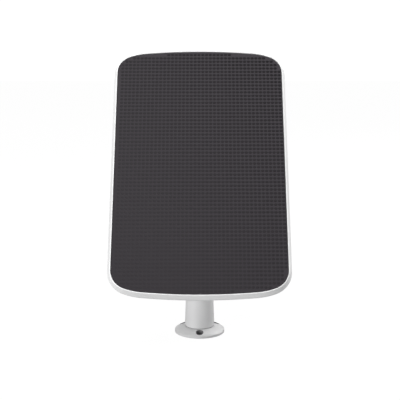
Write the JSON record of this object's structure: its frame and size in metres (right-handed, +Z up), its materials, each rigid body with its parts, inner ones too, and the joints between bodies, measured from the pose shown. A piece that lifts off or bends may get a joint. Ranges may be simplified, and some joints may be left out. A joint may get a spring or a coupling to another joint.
{
  "type": "solar panel for an outdoor camera",
  "caption": "Thin rounded solar charging panel in a white casing, leaning back on a tapered post with a round screw-down base, a tilt hinge, a swivel and a turntable.",
  "frame": {"origin": "centre of the base's underside, in the plane of the wall screws", "axes": "+Z up the post, -Y the way the panel faces (it faces -Y and up at rest), +X to the right seen from the front"},
  "size_m": [0.14, 0.1133, 0.234],
  "materials": {
    "white_plastic": "fine satin moulded",
    "grey_plastic": "smooth acetal",
    "brass": "machined",
    "steel": "stainless, turned",
    "silicone": "matte",
    "dark_film": "satin, embossed with small square dimples",
    "clear_sheet": "clear",
    "silicon_cell": "smooth dark blue-black",
    "tinned_copper": "bright tinned",
    "glass_fibre_board": "matte laminate",
    "foam_tape": "closed-cell foam",
    "circuit_board": "solder resist",
    "red_insulation": "smooth",
    "black_insulation": "smooth",
    "terminal_plastic": "moulded",
    "ferrite": "matte",
    "black_epoxy": "moulded",
    "aluminium_can": "satin",
    "cream_plastic": "moulded",
    "membrane": "woven, breathable"
  },
  "bodies": {
    "base": {"base_flange": "white_plastic", "swivel_glide_ring": "white_plastic"},
    "post": {"post": "white_plastic", "post_foot_plug": "white_plastic", "post_foot_insert": "brass", "swivel_screw": "steel", "swivel_flat_washer": "steel", "swivel_wave_washer": "steel"},
    "bracket": {"tilt_bracket": "white_plastic", "tilt_bolt": "steel", "tilt_nut": "steel", "tilt_friction_washers": "grey_plastic", "turntable_pad": "grey_plastic"},
    "panel": {"turntable_screw": "steel", "turntable_wave_washer": "steel", "turntable_insert": "brass", "front_frame": "white_plastic", "rear_cover": "white_plastic", "casing_gasket": "silicone", "cover_screws": "steel", "front_film": "dark_film", "front_encapsulant": "clear_sheet", "solar_cells": "silicon_cell", "cell_ribbons": "tinned_copper", "rear_encapsulant": "clear_sheet", "laminate_board": "glass_fibre_board", "laminate_tape": "foam_tape", "cell_terminals": "tinned_copper", "positive_lead": "red_insulation", "negative_lead": "black_insulation", "circuit_board": "circuit_board", "circuit_screws": "steel", "terminal_block": "terminal_plastic", "power_inductor": "ferrite", "regulator_chip": "black_epoxy", "blocking_diodes": "black_epoxy", "capacitors": "aluminium_can", "output_header": "cream_plastic", "cable_gland": "white_plastic", "gland_washer": "silicone", "gland_nut": "grey_plastic", "vent_membrane": "membrane", "vent_cap": "white_plastic"}
  },
  "joints": [
    {"name": "stem_swivel", "type": "hinge", "parent": "base", "child": "post", "pos_m": [0, 0, 0], "axis": [0, 0, 1], "continuous": true},
    {"name": "panel_tilt", "type": "hinge", "parent": "post", "child": "bracket", "pos_m": [0, 0, 0.1266], "axis": [1, 0, 0], "range_deg": [-60, 30]},
    {"name": "panel_turn", "type": "hinge", "parent": "bracket", "child": "panel", "pos_m": [0, 0, 0.1266], "axis": [0, -0.866, 0.5], "range_deg": [-90, 90]}
  ]
}
